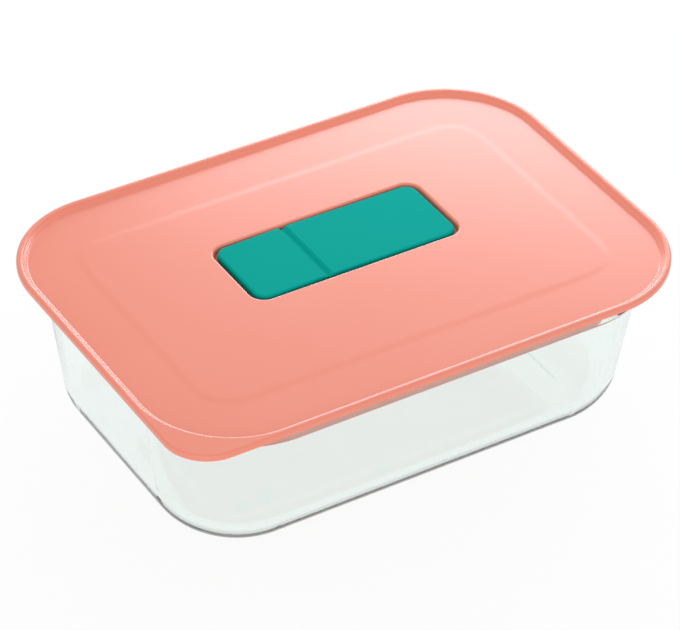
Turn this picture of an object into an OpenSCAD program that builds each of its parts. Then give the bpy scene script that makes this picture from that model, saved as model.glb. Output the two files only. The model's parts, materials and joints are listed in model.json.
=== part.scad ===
// Rectangular glass food dish with a press-on lid and a vent tab that folds up on a living hinge.
// Z is up, X runs along the long side and Y along the short side.
// The origin is the centre of the face that the dish stands on.

/* [Dish] */
// Length of the glass wall at its top
dish_l = 192; // [175:1:235]
// Width of the glass wall at its top
dish_w = 131; // [120:1:165]
// Height from the table to the top of the glass
dish_h = 59.2; // [50:0.2:75]
// Radius of the upright corners, at the top of the wall
dish_r = 37; // [34:0.5:40]
// How far the wall leans in between its top and the table
draft = 8; // [6:0.5:9]
// Thickness of the wall
wall_t = 3.2; // [2.6:0.1:3.6]
// Thickness of the base
base_t = 4; // [3:0.1:5]
// Radius between wall and base, outside
heel_r = 17; // [13:0.5:18]
// How far the rim bead stands out from the wall
bead_out = 3; // [2:0.1:3.4]
// Height of the rim bead
bead_h = 5; // [4.2:0.1:6]

/* [Lid] */
// How far the lid reaches past the glass wall on every side
overhang = 6.5; // [6:0.1:7.5]
// Radius of the lid's corners
lid_r = 37; // [36:0.5:40]
// Thickness of the moulded panel
panel_t = 1.8; // [1.4:0.1:2.2]
// Height of the raised rim above the panel
rim_h = 2; // [1.6:0.1:2.6]
// Width of the raised rim
rim_w = 2.6; // [2.4:0.1:3]
// Height of the outer edge of the rim
edge_h = 2.4; // [2.2:0.1:2.8]
// Corner radius of the lifting lip, which leaves the widest land at this corner
lip_r = 16; // [13:1:22]
// Depth of the skirt that plugs into the dish
skirt_h = 8.5; // [6.5:0.1:9.5]
// Thickness of the skirt
skirt_t = 1.5; // [1.2:0.1:1.8]
// Height of the soft step in the middle of the panel
step_h = 0.2; // [0.1:0.1:0.5]
// Distance from the end of the lid to that step
step_in_x = 20.5; // [18:0.5:28]
// Distance from the side of the lid to that step
step_in_y = 20.5; // [18:0.5:23]

/* [Vent tab] */
// Length of the tab, both plates together
tab_l = 79.5; // [70:0.5:88]
// Width of the tab
tab_w = 31.5; // [28:0.5:34]
// Corner radius of the tab
tab_r = 4.5; // [3:0.5:6]
// Centre of the tab along the lid
tab_x = 2.5; // [-4:0.5:5]
// Centre of the tab across the lid
tab_y = 9.5; // [4:0.5:10]
// Distance from the left end of the tab to the living hinge
hinge_in = 27; // [24:0.5:31]
// Depth of the recess that the tab lies in
recess_d = 3; // [2.8:0.1:3.6]
// Gap between the end of the tab and the recess
end_gap = 1.5; // [1:0.1:2]
// Gap between the side of the tab and the recess
side_gap = 1; // [0.8:0.1:1.4]
// Radius of the vent hole
vent_r = 3.8; // [3:0.1:4.5]

/* [Hidden] */
$fn = 64;

// Dish: the wall is a line that leans out by lean degrees, kept in [distance from corner axis, height]
lean = atan(draft / dish_h);
function wall_out(z) = dish_r - draft + z * tan(lean);
function wall_in(z) = wall_out(z) - wall_t / cos(lean);
bowl_r = heel_r - base_t;
bead_round = 1.8;
mouth_round = 1.4;
bead_foot = dish_h - bead_h;
bead_neck = 0.8;

// Lid, and the upright axes that its corners turn about
lid_l = dish_l + 2 * overhang;
lid_w = dish_w + 2 * overhang;
corner_x = lid_l / 2 - lid_r;
corner_y = lid_w / 2 - lid_r;
panel_z = dish_h + panel_t;
rim_z = panel_z + rim_h;
edge_z = rim_z - edge_h;
edge_round = 0.9;
edge_cut = 0.4;
rim_round = 0.5;
rim_slope = 1.1;
rim_lean = 25;
fillet_r = 0.8;
lip_skin = 1.5;
lip_fit = 0.1;
pocket_round = 0.3;
seat_out = rim_w + 1;
skirt_gap = 0.9;
skirt_cut = 0.4;
seal_out = 0.6;
seal_half = 0.7;
seal_flat = 0.15;
seal_drops = [2, 4.6];
step_slope = 4;
step_root = 0.4;
step_r = 15;
step_l = lid_l - 2 * step_in_x;
step_w = lid_w - 2 * step_in_y;
top_z = panel_z + step_h;

// Recess and vent tab
recess_l = tab_l + 2 * end_gap;
recess_w = tab_w + 2 * side_gap;
recess_r = tab_r + side_gap;
recess_edge = 0.8;
recess_foot = 0.5;
floor_z = top_z - recess_d;
floor_t = 1.4;
tub_t = 1.4;
tub_top_r = 0.2;
tub_foot = 0.6;
tub_root = dish_h + panel_t / 2;
tab_proud = 0.1;
tab_top = top_z + tab_proud;
tab_edge = 1;
tab_foot = 0.4;
flap_lift = 0.3;
web_t = 0.5;
web_l = 0.9;
web_in = 0.6;
web_w = tab_w - 2 * web_in;
hinge_drop = 1;
left_end = tab_x - tab_l / 2;
hinge_x = left_end + hinge_in;
hinge_z = tab_top - hinge_drop;
base_slope = 28;
flap_slope = 52;
brow = 0.3;
brow_share = 0.8;
past = 1;
join = 0.5;
plug_in = 34;
plug_x = hinge_x + plug_in;
plug_clear = 0.4;
plug_taper = 0.4;
plug_below = 1;
stud_r = 2.4;
stud_clear = 0.1;
stud_head_r = 3.6;
stud_head_h = 1.2;
stud_xs = [left_end + 8, left_end + 19];
stud_ys = [tab_y - 8, tab_y + 8];

// Points of an arc about c, from angle a0 to a1
function arc(c, r, a0, a1, n = 6) =
    [for (i = [0:n]) let (a = a0 + (a1 - a0) * i / n) c + r * [cos(a), sin(a)]];

// Sweeps an outline round a rectangle with round corners.
// The outline's first coordinate is the distance from the corner's upright axis.
module swept(l, w, r, outline) {
    a = l / 2 - r;
    b = w / 2 - r;
    for (c = [[a, b, 0], [-a, b, 90], [-a, -b, 180], [a, -b, 270]])
        translate([c[0], c[1], 0]) rotate(c[2]) rotate_extrude(angle = 90) polygon(outline);
    for (turn = [0, 180]) {
        rotate(turn) translate([-a, b, 0]) rotate([90, 0, 90]) linear_extrude(2 * a) polygon(outline);
        rotate(turn + 90) translate([-b, a, 0]) rotate([90, 0, 90]) linear_extrude(2 * b) polygon(outline);
    }
}

// A swept outline that reaches the corner axis, with its middle filled from z0 to z1
module swept_solid(l, w, r, outline, z0, z1) {
    swept(l, w, r, outline);
    translate([r - l / 2, r - w / 2, z0]) cube([l - 2 * r, w - 2 * r, z1 - z0]);
}

// Block with round corners in plan, its top edge rounded by top_r and its foot edge cut by foot
module soft_block(l, w, r, z0, z1, top_r, foot) {
    swept_solid(l, w, r, concat(
        [[0, z0], [r - foot, z0], [r, z0 + foot]],
        arc([r - top_r, z1 - top_r], top_r, 0, 90),
        [[0, z1]]), z0, z1);
}

// Pressed glass: base, wide heel radius, leaning wall and a rounded bead round the mouth
function dish_points() = concat(
    [[0, 0]],
    arc([wall_out(heel_r) - heel_r / cos(lean), heel_r], heel_r, -90, -lean, 10),
    [[wall_out(bead_foot - bead_neck), bead_foot - bead_neck],
     [wall_out(bead_foot) + bead_neck / 2, bead_foot]],
    arc([dish_r + bead_out - bead_round, bead_foot + bead_round], bead_round, -80, 0, 5),
    arc([dish_r + bead_out - bead_round, dish_h - bead_round], bead_round, 0, 90, 6),
    arc([wall_in(dish_h - mouth_round) + mouth_round / cos(lean), dish_h - mouth_round],
        mouth_round, 90, 180 - lean, 5),
    arc([wall_in(heel_r) - bowl_r / cos(lean), heel_r], bowl_r, -lean, -90, 10),
    [[0, base_t]]);

module glass_dish() {
    color([0.80, 0.88, 0.86, 0.45])
        swept_solid(dish_l, dish_w, dish_r, dish_points(), 0, base_t);
}

// Panel and raised rim of the lid, in one outline. The panel lies flat on the glass.
function lid_points() = concat(
    [[0, dish_h], [lid_r - seat_out, dish_h], [lid_r - rim_w, edge_z],
     [lid_r - edge_cut, edge_z], [lid_r, edge_z + edge_cut]],
    arc([lid_r - edge_round, rim_z - edge_round], edge_round, 0, 90),
    arc([lid_r - rim_w + rim_round, rim_z - rim_round], rim_round, 90, 180 - rim_lean, 4),
    arc([lid_r - rim_w - rim_slope - fillet_r / 2, panel_z + fillet_r], fillet_r, -rim_lean, -90, 4),
    [[0, panel_z]]);

// Skirt that plugs into the dish, parallel to the glass, with two seal ridges
function skirt_face(z) = wall_in(z) - skirt_gap;
function seal_points(z) = [
    [skirt_face(z - seal_half), z - seal_half],
    [skirt_face(z) + seal_out, z - seal_flat],
    [skirt_face(z) + seal_out, z + seal_flat],
    [skirt_face(z + seal_half), z + seal_half]];
function skirt_points() = let (
    foot = dish_h - skirt_h,
    root = dish_h + panel_t / 2,
    cut = skirt_cut)
    concat(
        [[skirt_face(foot) - skirt_t + cut, foot], [skirt_face(foot) - cut, foot],
         [skirt_face(foot + cut), foot + cut]],
        seal_points(dish_h - seal_drops[1]),
        seal_points(dish_h - seal_drops[0]),
        [[skirt_face(dish_h), dish_h], [skirt_face(dish_h), root],
         [skirt_face(dish_h) - skirt_t, root], [skirt_face(foot) - skirt_t, foot + cut]]);

// Soft step: a low plateau in the middle of the panel
module plateau() {
    z0 = panel_z - step_root;
    swept_solid(step_l, step_w, step_r,
        [[0, z0], [step_r, z0], [step_r, panel_z], [step_r - step_slope, top_z], [0, top_z]],
        z0, top_z);
}

// The quarter of space outside the rim's arc at the -X -Y corner, from z0 to z1
module lip_corner(z0, z1, clear_r) {
    difference() {
        translate([-lid_l, -lid_w, z0]) cube([lid_l - corner_x, lid_w - corner_y, z1 - z0]);
        translate([-corner_x, -corner_y, z0 - past]) cylinder(r = clear_r, h = z1 - z0 + 2 * past);
    }
}

// Lifting lip: this corner keeps a tighter radius than the rim's arc, and is hollow below
module lip() {
    difference() {
        intersection() {
            soft_block(lid_l, lid_w, lip_r, edge_z, rim_z, edge_round, edge_cut);
            lip_corner(edge_z - past, rim_z + past, lid_r - rim_w + lip_fit);
        }
        intersection() {
            soft_block(lid_l - 2 * lip_skin, lid_w - 2 * lip_skin, lip_r - lip_skin,
                edge_z - past, rim_z - lip_skin, pocket_round, pocket_round);
            lip_corner(edge_z - 2 * past, rim_z, lid_r);
        }
    }
}

// Cut for the recess, wider at its mouth, with a soft inside corner at the floor
module recess_cut() {
    r = recess_r;
    translate([tab_x, tab_y, 0])
        swept_solid(recess_l, recess_w, r, concat(
            [[0, floor_z], [r - recess_foot, floor_z], [r, floor_z + recess_foot]],
            arc([r + recess_edge, top_z - recess_edge], recess_edge, 180, 90, 5),
            [[r + recess_edge, top_z + past], [0, top_z + past]]), floor_z, top_z + past);
}

module lid() {
    hole_z = floor_z - floor_t - past;
    hole_h = floor_t + 2 * past;
    color([0.957, 0.61, 0.53]) difference() {
        union() {
            swept_solid(lid_l, lid_w, lid_r, lid_points(), dish_h, panel_z);
            swept(dish_l, dish_w, dish_r, skirt_points());
            plateau();
            lip();
            translate([tab_x, tab_y, 0])
                soft_block(recess_l + 2 * tub_t, recess_w + 2 * tub_t, recess_r + tub_t,
                    floor_z - floor_t, tub_root, tub_top_r, tub_foot);
        }
        recess_cut();
        translate([plug_x, tab_y, hole_z]) cylinder(r = vent_r, h = hole_h);
        for (x = stud_xs, y = stud_ys)
            translate([x, y, hole_z]) cylinder(r = stud_r + stud_clear, h = hole_h);
    }
}

// One plate of the tab: the whole rounded block, kept on one side of the hinge groove
module tab_plate(z0, side, slope) {
    start = web_l / 2;
    rise = tab_top - hinge_z;
    lean_out = rise * tan(slope);
    intersection() {
        translate([tab_x, tab_y, 0]) soft_block(tab_l, tab_w, tab_r, z0, tab_top, tab_edge, tab_foot);
        translate([hinge_x, tab_y + tab_w, 0]) rotate([90, 0, 0]) linear_extrude(2 * tab_w)
            polygon([[side * start, z0 - past], [side * start, hinge_z],
                [side * (start + lean_out * brow_share), hinge_z + rise * brow_share],
                [side * (start + lean_out + brow), tab_top],
                [side * (start + lean_out + brow), tab_top + past],
                [side * tab_l, tab_top + past], [side * tab_l, z0 - past]]);
    }
}

// Short plate, held to the lid by four studs that are headed over under the recess floor
module vent_tab_base() {
    under = floor_z - floor_t;
    color([0.08, 0.66, 0.61]) {
        tab_plate(floor_z, -1, base_slope);
        for (x = stud_xs, y = stud_ys) translate([x, y, under]) {
            cylinder(r = stud_r, h = floor_t + join);
            translate([0, 0, -stud_head_h]) cylinder(r1 = stud_r, r2 = stud_head_r, h = stud_head_h);
        }
    }
}

// Thin web between the plates, which bends when the flap opens
module vent_hinge_web() {
    color([0.0, 0.60, 0.55])
        translate([hinge_x - web_l / 2, tab_y - web_w / 2, hinge_z - web_t / 2])
            cube([web_l, web_w, web_t]);
}

// Long plate, with the stopper that closes the vent hole
module vent_flap() {
    z0 = floor_z + flap_lift;
    plug_foot = floor_z - floor_t - plug_below;
    color([0.08, 0.66, 0.61]) {
        tab_plate(z0, 1, flap_slope);
        translate([plug_x, tab_y, plug_foot])
            cylinder(r1 = vent_r - plug_clear - plug_taper, r2 = vent_r - plug_clear,
                h = z0 + join - plug_foot);
    }
}

glass_dish();
lid();
vent_tab_base();
vent_hinge_web();
vent_flap();
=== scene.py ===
import json
import math

import bmesh
import bpy
from mathutils import Matrix, Vector


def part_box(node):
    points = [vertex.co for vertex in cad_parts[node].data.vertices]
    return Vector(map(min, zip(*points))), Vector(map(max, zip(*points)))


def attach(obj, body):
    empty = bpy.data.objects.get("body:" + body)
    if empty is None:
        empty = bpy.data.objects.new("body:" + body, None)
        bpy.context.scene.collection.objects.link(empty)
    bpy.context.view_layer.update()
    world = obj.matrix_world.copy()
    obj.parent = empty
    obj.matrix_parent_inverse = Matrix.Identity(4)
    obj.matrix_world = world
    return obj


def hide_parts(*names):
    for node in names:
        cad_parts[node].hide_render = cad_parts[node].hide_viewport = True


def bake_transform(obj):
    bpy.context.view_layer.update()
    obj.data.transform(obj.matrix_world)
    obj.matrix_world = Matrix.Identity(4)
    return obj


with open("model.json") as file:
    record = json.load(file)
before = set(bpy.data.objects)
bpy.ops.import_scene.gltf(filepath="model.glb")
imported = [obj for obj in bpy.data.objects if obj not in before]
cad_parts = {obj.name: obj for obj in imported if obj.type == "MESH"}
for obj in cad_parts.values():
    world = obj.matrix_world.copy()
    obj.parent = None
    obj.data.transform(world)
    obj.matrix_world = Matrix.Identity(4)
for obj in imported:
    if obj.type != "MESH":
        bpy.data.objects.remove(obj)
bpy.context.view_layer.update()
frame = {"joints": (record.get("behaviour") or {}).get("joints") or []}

# ---- Glass dish
# One piece of clear tempered glass, pressed in a mould and fire-polished. It stands on a low foot ring,
# and a wide heel carries the base into leaning walls that end in a rounded bead.
mm = 0.001
dish_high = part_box("glass_dish")[1]
dish_corner = 37 * mm
lean_in = 8 * mm
wall = 3.2 * mm
base = 4 * mm
heel = 17 * mm
foot_rise = 0.5 * mm
foot_wide = 2 * mm
foot_step = 3 * mm
bead_out = 3 * mm
bead_tall = 5 * mm
bead_round = 1.8 * mm
mouth_round = 1.4 * mm
neck_round = 1.2 * mm
margin = 1 * mm
hair = 0.001 * mm
dish_x = dish_high.x - bead_out - dish_corner
dish_y = dish_high.y - bead_out - dish_corner
lean = math.atan(lean_in / dish_high.z)
lean_deg = math.degrees(lean)


def arc(reach, height, radius, start, stop, steps=8):
    """Points of a round stretch about (reach, height), from angle start to angle stop in degrees."""
    turns = [math.radians(start + (stop - start) * i / steps) for i in range(steps + 1)]
    return [(reach + radius * math.cos(t), height + radius * math.sin(t)) for t in turns]


def ease(start, stop, steps=8):
    """Points of a soft S-shaped step between two (reach, height) points."""
    shares = [i / steps for i in range(steps + 1)]
    rises = [(1 - math.cos(math.pi * share)) / 2 for share in shares]
    return [(start[0] + (stop[0] - start[0]) * share, start[1] + (stop[1] - start[1]) * rise)
            for share, rise in zip(shares, rises)]


def chain(bm, outline, place, ends):
    """Joined edges through an outline's points. Its first and last corners carry the numbers in ends."""
    mark = bm.verts.layers.int.get("end") or bm.verts.layers.int.new("end")
    verts = [bm.verts.new(place(reach, height)) for reach, height in outline]
    verts[0][mark], verts[-1][mark] = ends
    return verts, [bm.edges.new(pair) for pair in zip(verts, verts[1:])]


def swept(bm, outline, axis_x, axis_y, ends, centre=(0, 0), corner_steps=24):
    """Carries an outline round a rectangle whose corners turn about axis_x and axis_y from its centre."""
    left, right = centre[0] - axis_x, centre[0] + axis_x
    front, back = centre[1] - axis_y, centre[1] + axis_y
    verts, edges = chain(bm, outline, lambda reach, height: (right + reach, front, height), ends)
    made = list(verts)
    corners = ((right, back), (left, back), (left, front), (right, front))
    runs = ((0, 2 * axis_y), (-2 * axis_x, 0), (0, -2 * axis_y), (2 * axis_x, 0))
    for corner, run in zip(corners, runs):
        grown = bmesh.ops.extrude_edge_only(bm, edges=edges)["geom"]
        verts = [g for g in grown if isinstance(g, bmesh.types.BMVert)]
        edges = [g for g in grown if isinstance(g, bmesh.types.BMEdge)]
        bmesh.ops.translate(bm, verts=verts, vec=(*run, 0))
        last = bmesh.ops.spin(
            bm, geom=verts + [e for e in edges if set(e.verts) <= set(verts)],
            cent=(*corner, 0), axis=(0, 0, 1), angle=math.radians(90), steps=corner_steps)["geom_last"]
        edges = [g for g in last if isinstance(g, bmesh.types.BMEdge)]
    seam = {v for e in edges for v in e.verts}
    bmesh.ops.remove_doubles(bm, verts=list(seam | set(made)), dist=hair)


def loop(bm, *numbers):
    """The edges of the loops that outlines' ends left behind, by their numbers."""
    mark = bm.verts.layers.int["end"]
    return [e for e in bm.edges if e.verts[0][mark] == e.verts[1][mark] and e.verts[0][mark] in numbers]


def finished(name, bm, material, body, replaced):
    """Turns a mesh into a smooth-shaded piece that rides on its body in place of the plain CAD nodes."""
    bmesh.ops.recalc_face_normals(bm, faces=bm.faces[:])
    mark = bm.verts.layers.int.get("end")
    if mark:
        bm.verts.layers.int.remove(mark)
    mesh = bpy.data.meshes.new(name)
    bm.to_mesh(mesh)
    bm.free()
    mesh.shade_smooth()
    mesh.set_sharp_from_angle(angle=math.radians(40))
    mesh.materials.append(material)
    made = bpy.data.objects.new(name, mesh)
    bpy.context.scene.collection.objects.link(made)
    made.modifiers.new("even_shading", "WEIGHTED_NORMAL").keep_sharp = True
    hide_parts(*replaced)
    if body:
        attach(made, body)
    return made


def outer_reach(height):
    """How far the outside of the glass wall stands from the corner axis."""
    return dish_corner - lean_in + height * math.tan(lean)


def inner_reach(height):
    """How far the inside of the glass wall stands from the corner axis."""
    return outer_reach(height) - wall / math.cos(lean)


bead_foot = dish_high.z - bead_tall
bead_reach = dish_corner + bead_out - bead_round
heel_reach = outer_reach(heel) - heel / math.cos(lean)
bowl = heel - base
bowl_reach = inner_reach(heel) - bowl / math.cos(lean)
foot_in = heel_reach - foot_wide
mouth_reach = inner_reach(dish_high.z - mouth_round) + mouth_round / math.cos(lean)

dish_outline = (
    [(foot_in - foot_step - margin, foot_rise)]
    + ease((foot_in - foot_step, foot_rise), (foot_in, 0))
    + arc(heel_reach, heel, heel, -90, -lean_deg, 20)
    + arc(outer_reach(bead_foot - neck_round) + neck_round, bead_foot - neck_round, neck_round, 180, 90, 6)
    + arc(bead_reach, bead_foot + bead_round, bead_round, -90, 0, 10)
    + arc(bead_reach, dish_high.z - bead_round, bead_round, 0, 90, 10)
    + arc(mouth_reach, dish_high.z - mouth_round, mouth_round, 90, 180 - lean_deg, 10)
    + arc(bowl_reach, heel, bowl, -lean_deg, -90, 20)
    + [(bowl_reach - margin, base)]
)

UNDER_DISH, DISH_FLOOR = 1, 2
dish = bmesh.new()
swept(dish, dish_outline, dish_x, dish_y, (UNDER_DISH, DISH_FLOOR), corner_steps=32)
bmesh.ops.edgeloop_fill(dish, edges=loop(dish, UNDER_DISH, DISH_FLOOR))


class Wire:
    """An output of a node. Sums and products of wires and numbers add their Math nodes."""

    def __init__(self, tree, socket):
        self.tree = tree
        self.socket = socket

    def math(self, operation, first, second):
        node = self.tree.nodes.new("ShaderNodeMath")
        node.operation = operation
        for slot, item in zip(node.inputs, (first, second)):
            if isinstance(item, Wire):
                self.tree.links.new(item.socket, slot)
            else:
                slot.default_value = item
        return Wire(self.tree, node.outputs[0])

    def __add__(self, other):
        return self.math("ADD", self, other)

    def __mul__(self, other):
        return self.math("MULTIPLY", self, other)

    __radd__ = __add__
    __rmul__ = __mul__


class Finish:
    """The nodes of a new material, or of a world."""

    def __init__(self, owner):
        owner.use_nodes = True
        self.tree = owner.node_tree
        self.tree.nodes.clear()

    def node(self, kind, inputs, output=0, **settings):
        """Adds a node with its settings, and with a value or a wire for each named or numbered input."""
        node = self.tree.nodes.new(kind)
        for name, value in settings.items():
            setattr(node, name, value)
        for key, value in inputs.items():
            if isinstance(value, Wire):
                self.tree.links.new(value.socket, node.inputs[key])
            else:
                node.inputs[key].default_value = value
        return Wire(self.tree, node.outputs[output]) if node.outputs else None

    def noise(self, where, scale, detail=2.0, rough=0.5):
        """Soft random values from 0 to 1, with about scale bumps to the metre."""
        spread = {"Vector": where, "Scale": scale, "Detail": detail, "Roughness": rough}
        return self.node("ShaderNodeTexNoise", spread)


def clear_glass():
    """Clear glass with a faint grey-green body and the slow ripple of a pressed surface."""
    ripple_height = 0.03 * mm
    material = bpy.data.materials.new("clear_glass")
    glass = Finish(material)
    where = glass.node("ShaderNodeTexCoord", {}, "Object")
    ripple = glass.noise(where, 45, 1.0)
    surface = glass.node("ShaderNodeBump", {"Strength": 1.0, "Distance": ripple_height, "Height": ripple})
    smear = glass.noise(where, 30, 3.0)
    shell = glass.node("ShaderNodeBsdfPrincipled", {
        "Base Color": (0.985, 0.995, 0.99, 1), "Roughness": smear * 0.02,
        "IOR": 1.5, "Transmission Weight": 1.0, "Normal": surface})
    open_to_light = glass.node("ShaderNodeBsdfTransparent", {"Color": (0.93, 0.95, 0.94, 1)})
    shadow = glass.node("ShaderNodeLightPath", {}, "Is Shadow Ray")
    both = glass.node("ShaderNodeMixShader", {0: shadow, 1: shell, 2: open_to_light})
    body = glass.node("ShaderNodeVolumeAbsorption", {"Color": (0.66, 0.85, 0.78, 1), "Density": 42.0})
    glass.node("ShaderNodeOutputMaterial", {"Surface": both, "Volume": body})
    return material


finished("dish", dish, clear_glass(), "dish", ["glass_dish"])

# ---- Lid
# One semi-gloss moulding in coral plastic. A raised rim runs round a thin panel, and grows into a lip for
# the thumb at one corner. The panel holds a sunk tray for the tab, and a skirt below plugs into the dish.
lid_low, lid_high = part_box("lid")
lid_corner = 37 * mm
lip_corner = 16 * mm
lid_x = lid_high.x - lid_corner
lid_y = lid_high.y - lid_corner
rim_wide = 2.6 * mm
rim_tall = 1.9 * mm
edge_tall = 2.4 * mm
edge_round = 0.9 * mm
edge_foot_round = 0.5 * mm
rim_round = 1.3 * mm
rim_slope = 1.1 * mm
rim_lean_deg = 25
rim_fillet = 0.9 * mm
panel = 1.9 * mm
seat_gap = 0.05 * mm
seat_ledge = 1 * mm
seat_out = rim_wide + seat_ledge
panel_top = lid_high.z - rim_tall
seat = panel_top - panel + seat_gap
edge_low = lid_high.z - edge_tall
slope_reach = lid_corner - rim_wide - rim_slope - rim_fillet / 2

rim_outline = (
    [(lid_corner - seat_out - margin, seat), (lid_corner - seat_out, seat)]
    + [(lid_corner - rim_wide, edge_low)]
    + arc(lid_corner - edge_foot_round, edge_low + edge_foot_round, edge_foot_round, -90, 0, 5)
    + arc(lid_corner - edge_round, lid_high.z - edge_round, edge_round, 0, 90, 8)
    + arc(lid_corner - rim_wide + rim_round, lid_high.z - rim_round, rim_round, 90, 180 - rim_lean_deg, 8)
    + arc(slope_reach, panel_top + rim_fillet, rim_fillet, -rim_lean_deg, -90, 8)
    + [(slope_reach - margin, panel_top)]
)

skirt_gap = 0.9 * mm
skirt_wall = 1.5 * mm
skirt_foot_round = 0.4 * mm
seal_round = 0.6 * mm
seal_drops = (2 * mm, 4.6 * mm)


def skirt_face(height):
    """How far the outside of the skirt stands from the dish's corner axis."""
    return inner_reach(height) - skirt_gap


seal_rings = [arc(skirt_face(dish_high.z - drop), dish_high.z - drop, seal_round, 90, -90, 8)
              for drop in seal_drops]
foot_height = lid_low.z + skirt_foot_round
skirt_foot = skirt_face(foot_height)
skirt_outline = (
    [(skirt_face(seat), seat)] + seal_rings[0] + seal_rings[1]
    + arc(skirt_foot - skirt_foot_round, foot_height, skirt_foot_round, 0, -90, 4)
    + arc(skirt_foot - skirt_wall + skirt_foot_round, foot_height, skirt_foot_round, -90, -180, 4)
    + [(skirt_foot - skirt_wall, seat)]
)

step_tall = 0.1 * mm
step_wide = 3.8 * mm
step_corner = 15 * mm
step_inset = 20.6 * mm
step_x = lid_high.x - step_inset - step_corner
step_y = lid_high.y - step_inset - step_corner
step_top = panel_top + step_tall
step_outline = (
    [(step_corner + margin, panel_top)]
    + ease((step_corner, panel_top), (step_corner - step_wide, step_top))
    + [(step_corner - step_wide - margin, step_top)]
)

base_low, base_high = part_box("vent_tab_base")
flap_low, flap_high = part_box("vent_flap")
tab_middle = ((base_low.x + flap_high.x) / 2, (base_low.y + base_high.y) / 2)
tab_corner = 4.5 * mm
end_gap = 1.5 * mm
side_gap = 1 * mm
tray_corner = tab_corner + side_gap
tray_x = (flap_high.x - base_low.x) / 2 + end_gap - tray_corner
tray_y = (base_high.y - base_low.y) / 2 + side_gap - tray_corner
tray_deep = 3 * mm
tray_skin = 1.4 * mm
tray_edge = 0.9 * mm
tray_fillet = 0.6 * mm
tray_floor = step_top - tray_deep
tray_under = tray_floor - tray_skin
tray_outline = (
    [(tray_corner + tray_edge + margin, step_top)]
    + arc(tray_corner + tray_edge, step_top - tray_edge, tray_edge, 90, 180, 8)
    + arc(tray_corner - tray_fillet, tray_floor + tray_fillet, tray_fillet, 0, -90, 6)
    + [(tray_corner - tray_fillet - margin, tray_floor)]
)
tub_corner = tray_corner + tray_skin
tub_outline = (
    [(tub_corner + margin, seat)]
    + arc(tub_corner + tray_fillet, seat - tray_fillet, tray_fillet, 90, 180, 4)
    + arc(tub_corner - tray_fillet, tray_under + tray_fillet, tray_fillet, 0, -90, 6)
    + [(tub_corner - tray_fillet - margin, tray_under)]
)

vent_hole = 3.8 * mm
vent_round = 0.4 * mm
stud_hole = 2.5 * mm
hinge = Vector(next(joint["pos_m"] for joint in frame["joints"] if joint["name"] == "flap_fold"))
vent_along = 34 * mm
stud_along = (8 * mm, 19 * mm)
stud_across = 8 * mm
vent_at = (hinge.x + vent_along, tab_middle[1])
stud_places = [(base_low.x + along, tab_middle[1] + side * stud_across)
               for along in stud_along for side in (-1, 1)]
(SEAT_INSIDE, RIM_FOOT, SKIRT_OUT, SKIRT_IN, STEP_FOOT, STEP_HEAD,
 TRAY_MOUTH, TRAY_FLOOR, TUB_HEAD, TUB_FOOT, HOLE_TOP, HOLE_FOOT) = range(1, 13)


def turned(bm, outline, centre, ends, steps=48):
    """Turns an outline a full circle about an upright axis at centre."""
    verts, edges = chain(bm, outline, lambda reach, height: (centre[0] + reach, centre[1], height), ends)
    bmesh.ops.spin(bm, geom=verts + edges, cent=(*centre, 0), axis=(0, 0, 1), angle=math.tau,
                   steps=steps, use_merge=True)


lid = bmesh.new()
swept(lid, rim_outline, lid_x, lid_y, (SEAT_INSIDE, RIM_FOOT), corner_steps=60)
lip_clear = 0.1 * mm
lip_from = lid_corner - rim_wide + rim_round + lip_clear
for vert in lid.verts:
    beyond = Vector((-lid_x - vert.co.x, -lid_y - vert.co.y))
    if min(beyond) > -hair and beyond.length > lip_from:
        beyond.normalize()
        vert.co.x -= (lid_corner - lip_corner) * (1 - beyond.x)
        vert.co.y -= (lid_corner - lip_corner) * (1 - beyond.y)
swept(lid, skirt_outline, dish_x, dish_y, (SKIRT_OUT, SKIRT_IN))
swept(lid, step_outline, step_x, step_y, (STEP_FOOT, STEP_HEAD))
swept(lid, tray_outline, tray_x, tray_y, (TRAY_MOUTH, TRAY_FLOOR), tab_middle)
swept(lid, tub_outline, tray_x, tray_y, (TUB_HEAD, TUB_FOOT), tab_middle)
for pair in ((SEAT_INSIDE, SKIRT_OUT), (RIM_FOOT, STEP_FOOT), (STEP_HEAD, TRAY_MOUTH), (SKIRT_IN, TUB_HEAD)):
    bmesh.ops.triangle_fill(lid, edges=loop(lid, *pair), use_beauty=True)
turned(lid, arc(vent_hole + vent_round, tray_floor - vent_round, vent_round, 90, 180, 5)
       + arc(vent_hole + vent_round, tray_under + vent_round, vent_round, 180, 270, 5),
       vent_at, (HOLE_TOP, HOLE_FOOT))
for place in stud_places:
    turned(lid, [(stud_hole, tray_floor), (stud_hole, tray_floor - tray_skin / 2), (stud_hole, tray_under)],
           place, (HOLE_TOP, HOLE_FOOT), 32)
for ring, holes in ((TRAY_FLOOR, HOLE_TOP), (TUB_FOOT, HOLE_FOOT)):
    bmesh.ops.triangle_fill(lid, edges=loop(lid, ring, holes), use_beauty=True)


def plastic(name, deep, light, roughness, grain_height, gloss=0.5):
    """Moulded plastic: a drifting tone, a fine spark-eroded grain and faint wipe marks in the gloss."""
    material = bpy.data.materials.new(name)
    made = Finish(material)
    where = made.node("ShaderNodeTexCoord", {}, "Object")
    drift = made.noise(where, 14, 2.0) * 0.8 + made.noise(where, 180, 2.0) * 0.2
    tone = made.node("ShaderNodeMix", {0: drift, 6: deep, 7: light}, 2, data_type="RGBA")
    wiped = made.noise(where, 24, 3.0)
    grain = made.noise(where, 2600, 2.0)
    relief = made.node("ShaderNodeBump", {"Strength": 1.0, "Distance": grain_height, "Height": grain})
    surface = made.node("ShaderNodeBsdfPrincipled", {
        "Base Color": tone, "Roughness": wiped * 0.04 + roughness,
        "IOR": 1.49, "Specular IOR Level": gloss, "Normal": relief})
    made.node("ShaderNodeOutputMaterial", {"Surface": surface})
    return material


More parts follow.
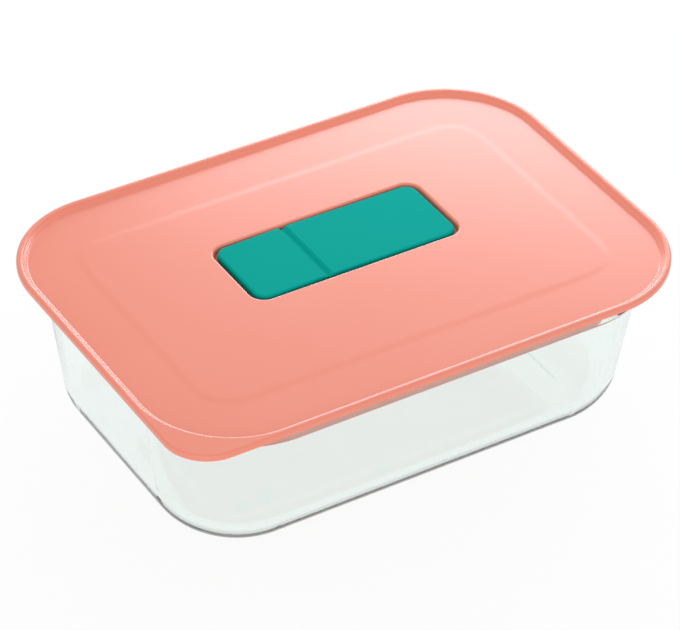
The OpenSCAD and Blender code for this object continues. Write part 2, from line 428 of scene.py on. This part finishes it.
coral = plastic("coral_plastic", (0.865, 0.254, 0.172, 1), (0.9, 0.278, 0.192, 1), 0.28, 0.0006 * mm)
finished("lid_moulding", lid, coral, "lid", ["lid"])

# ---- Vent tab
# A second moulding in satin teal plastic. Its short plate is riveted to the tray by four studs, and its long
# plate folds up on a thin web and carries the stopper of the vent hole.
web_long = 0.9 * mm
tab_top = flap_high.z
edge_soft = 0.9 * mm
groove_lip = 0.3 * mm
groove_soft = 0.3 * mm
short_slope_deg = 28
long_slope_deg = 52
near = 0.01 * mm


def rounded(bm, edges, radius, segments=6):
    """Rounds edges to a radius."""
    bmesh.ops.bevel(bm, geom=edges, offset=radius, segments=segments, affect="EDGES", profile=0.5,
                    material=-1)


def tab_plate(end, side, low, slope_deg):
    """A plate from its far end to the groove. Its groove face leans back, and its edges are rounded."""
    start = hinge.x + side * web_long / 2
    rise = tab_top - hinge.z
    run = rise * math.tan(math.radians(slope_deg)) + groove_lip
    slope = math.degrees(math.atan(run / rise))
    bend = run + groove_soft * math.tan(math.radians((90 - slope) / 2))
    brow = [(start + side * x, z)
            for x, z in arc(bend, tab_top - groove_soft, groove_soft, 180 - slope, 90, 5)]
    outline = [(end, low), (start, low), (start, hinge.z)] + brow + [(end, tab_top)]
    plate = bmesh.new()
    face = plate.faces.new([plate.verts.new((x, base_low.y, z)) for x, z in outline])
    grown = bmesh.ops.extrude_face_region(plate, geom=[face])["geom"]
    bmesh.ops.translate(plate, verts=[g for g in grown if isinstance(g, bmesh.types.BMVert)],
                        vec=(0, base_high.y - base_low.y, 0))
    bmesh.ops.recalc_face_normals(plate, faces=plate.faces[:])

    def runs_across(edge):
        return abs(edge.verts[0].co.y - edge.verts[1].co.y) > near

    def lies_at(edge, x):
        return max(abs(v.co.x - x) for v in edge.verts) < near

    rounded(plate, [e for e in plate.edges if lies_at(e, end) and not runs_across(e)], tab_corner, 12)
    top = max(plate.faces, key=lambda f: (round(f.calc_center_median().z, 6), f.calc_area()))
    rounded(plate, [e for e in top.edges if not lies_at(e, brow[-1][0])], edge_soft)
    return plate


teal = plastic("teal_plastic", (0.001, 0.335, 0.28, 1), (0.003, 0.375, 0.32, 1), 0.5, 0.003 * mm, 0.01)

short_plate = tab_plate(base_low.x, -1, tray_floor, short_slope_deg)
stud = 2.4 * mm
head_wide = 3.6 * mm
head_tall = 1.2 * mm
head_turns = [math.radians(15 * i) for i in range(6)]
STUD_TOP, HEAD_FOOT = 1, 2
for place in stud_places:
    turned(short_plate, [(stud, tray_floor + margin), (stud, tray_under)]
           + [(head_wide * math.cos(t), tray_under - head_tall * math.sin(t))
              for t in head_turns],
           place, (STUD_TOP, HEAD_FOOT), 32)
bmesh.ops.edgeloop_fill(short_plate, edges=loop(short_plate, STUD_TOP, HEAD_FOOT))
finished("tab_short_plate", short_plate, teal, "lid", ["vent_tab_base"])

flap_lift = 0.3 * mm
long_plate = tab_plate(flap_high.x, 1, tray_floor + flap_lift, long_slope_deg)
stopper_foot = flap_low.z
stopper_wide = 3.4 * mm
stopper_tip = 3.0 * mm
tip_round = 0.4 * mm
STOPPER_TOP, STOPPER_FOOT = 1, 2
turned(long_plate, [(stopper_wide, tray_floor + flap_lift + margin), (stopper_wide, tray_floor)]
       + arc(stopper_tip - tip_round, stopper_foot + tip_round, tip_round, 0, -90, 5),
       vent_at, (STOPPER_TOP, STOPPER_FOOT))
bmesh.ops.edgeloop_fill(long_plate, edges=loop(long_plate, STOPPER_TOP, STOPPER_FOOT))
finished("tab_long_plate", long_plate, teal, "flap", ["vent_flap"])

web_low, web_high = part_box("vent_hinge_web")
web_tuck = 0.2 * mm
web_neck = 0.12 * mm
web_whole = web_long + 2 * web_tuck
web = bmesh.new()
bmesh.ops.create_cube(web, size=1)
bmesh.ops.scale(web, verts=web.verts[:], vec=(web_whole, web_high.y - web_low.y, web_high.z - web_low.z))
bmesh.ops.subdivide_edges(web, cuts=7, use_grid_fill=True, edges=[
    e for e in web.edges if abs(e.verts[0].co.x - e.verts[1].co.x) > mm / 2])
for vert in web.verts:
    thin = math.cos(math.pi * vert.co.x / web_whole)
    vert.co.z -= math.copysign(web_neck * thin, vert.co.z)
bmesh.ops.translate(web, verts=web.verts[:], vec=(web_low + web_high) / 2)
hinge_web = finished("tab_hinge_web", web, teal, None, ["vent_hinge_web"])
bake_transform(hinge_web)

# ---- Studio
# A white table that runs on to a white room. A soft box close behind the right-hand end puts the sheen on
# the lid, a low strip further back draws the rims, and a wide dim box in front fills the near side.
table_half = 6
table_drop = 0.05 * mm
table = bmesh.new()
bmesh.ops.create_grid(table, x_segments=1, y_segments=1, size=table_half)
table_mesh = bpy.data.meshes.new("table")
bmesh.ops.translate(table, verts=table.verts[:], vec=(0, 0, -table_drop))
table.to_mesh(table_mesh)
table.free()
table_top = bpy.data.objects.new("table", table_mesh)
bpy.context.scene.collection.objects.link(table_top)
white_paper = bpy.data.materials.new("white_paper")
paper = Finish(white_paper)
fibre = paper.noise(paper.node("ShaderNodeTexCoord", {}, "Object"), 700, 3.0)
sheet = paper.node("ShaderNodeBsdfDiffuse", {
    "Color": paper.node("ShaderNodeMix", {0: fibre, 6: (0.92, 0.92, 0.92, 1), 7: (0.95, 0.95, 0.95, 1)}, 2,
                        data_type="RGBA")})
glow = paper.node("ShaderNodeEmission", {"Color": (1, 1, 1, 1), "Strength": 1.0})
glow_share = 0.92
at_eye = paper.node("ShaderNodeLightPath", {}, "Is Camera Ray")
in_sheen = paper.node("ShaderNodeLightPath", {}, "Is Glossy Ray")
paper.node("ShaderNodeOutputMaterial", {"Surface": paper.node(
    "ShaderNodeMixShader", {0: (at_eye + in_sheen) * glow_share, 1: sheet, 2: glow})})
table_mesh.materials.append(white_paper)

room = bpy.data.worlds.new("room")
bpy.context.scene.world = room
air = Finish(room)
at_room = air.node("ShaderNodeLightPath", {}, "Is Camera Ray")
lit = air.node("ShaderNodeBackground", {"Color": (1, 1, 1, 1), "Strength": 0.8})
white = air.node("ShaderNodeBackground", {"Color": (1, 1, 1, 1), "Strength": 1.0})
air.node("ShaderNodeOutputWorld", {"Surface": air.node(
    "ShaderNodeMixShader", {0: at_room, 1: lit, 2: white})})


def soft_box(name, place, aim, wide, tall, radiance):
    """A rectangular lamp that faces its aim, with its radiance in red, green and blue.
    It is out of sight, and it doesn't show through the glass."""
    lamp = bpy.data.lights.new(name, "AREA")
    lamp.shape = "RECTANGLE"
    lamp.size, lamp.size_y = wide, tall
    brightest = max(radiance)
    lamp.color = [part / brightest for part in radiance]
    lamp.energy = brightest * math.pi * wide * tall
    held = bpy.data.objects.new(name, lamp)
    held.visible_camera = False
    held.visible_transmission = False
    held.location = place
    held.rotation_euler = (Vector(aim) - Vector(place)).to_track_quat("-Z", "Y").to_euler()
    bpy.context.scene.collection.objects.link(held)


lid_middle = (0, 0, 0.061)
soft_box("sheen_box", (0.225, 0.232, 0.195), lid_middle, 0.34, 0.10, (4.9, 6.0, 6.7))
soft_box("low_strip", (0.5, 0.85, 0.24), lid_middle, 0.9, 0.24, (3.2, 3.2, 3.2))
soft_box("front_box", (-0.9, -1.2, 0.5), (0, 0, 0.03), 1.2, 0.8, (1.6, 1.6, 1.6))

swing, rise, roll = math.radians(-32.84), math.radians(37.65), math.radians(1.9)
distance = 1.23
aim = Vector((-0.0013, 0, 0.0367))
to_camera = Vector((math.sin(swing) * math.cos(rise), -math.cos(swing) * math.cos(rise), math.sin(rise)))
lens = bpy.data.cameras.new("camera")
lens.lens = 189.6
lens.sensor_width = 36
camera = bpy.data.objects.new("camera", lens)
camera.matrix_world = (
    Matrix.Translation(aim + to_camera * distance)
    @ (-to_camera).to_track_quat("-Z", "Y").to_matrix().to_4x4()
    @ Matrix.Rotation(roll, 4, "Z"))
bpy.context.scene.collection.objects.link(camera)
bpy.context.scene.camera = camera
bpy.context.scene.view_settings.view_transform = "Standard"
